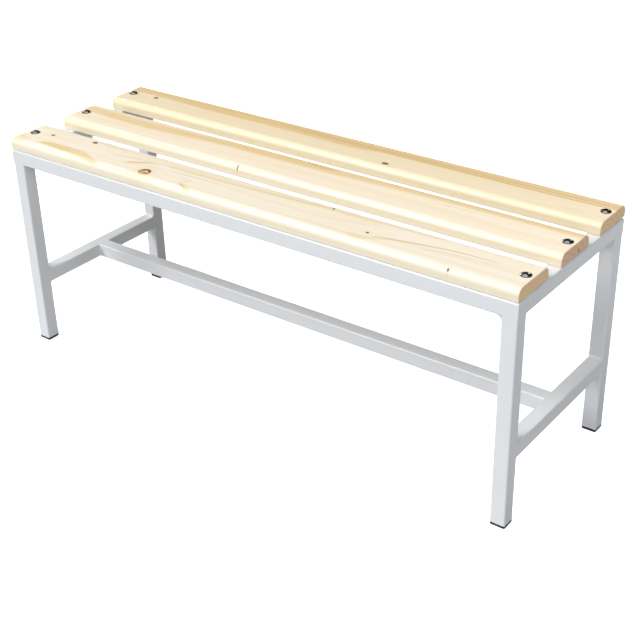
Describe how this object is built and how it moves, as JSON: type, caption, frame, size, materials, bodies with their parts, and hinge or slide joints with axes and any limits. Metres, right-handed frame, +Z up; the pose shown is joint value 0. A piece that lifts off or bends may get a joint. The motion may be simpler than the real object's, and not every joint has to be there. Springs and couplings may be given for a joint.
{
  "type": "locker room bench",
  "caption": "Long backless bench with pine slats bolted along a welded square tube frame, with end stretchers, a centre stretcher and insert feet.",
  "frame": {"origin": "centre of the bench's box, on the floor", "axes": "+X along the slats to the bench's right end, +Y from the front to the back, +Z up"},
  "size_m": [1.002, 0.336, 0.4033],
  "materials": {
    "powder_coat": "satin powder coat, pale grey",
    "pine": "clear satin lacquer",
    "black_plastic": "moulded",
    "bright_zinc": "bright plated",
    "zinc": "zinc plated"
  },
  "bodies": {
    "root": {"leg_front_left": "powder_coat", "leg_front_right": "powder_coat", "leg_back_left": "powder_coat", "leg_back_right": "powder_coat", "rail_front": "powder_coat", "rail_back": "powder_coat", "rail_left": "powder_coat", "rail_right": "powder_coat", "stretcher_left": "powder_coat", "stretcher_right": "powder_coat", "stretcher_long": "powder_coat", "slat_front": "pine", "slat_middle": "pine", "slat_back": "pine", "foot_front_left": "black_plastic", "foot_front_right": "black_plastic", "foot_back_left": "black_plastic", "foot_back_right": "black_plastic", "slat_bolts": "bright_zinc", "bolt_washers": "zinc", "lock_nuts": "zinc", "frame_welds": "powder_coat"}
  },
  "joints": []
}
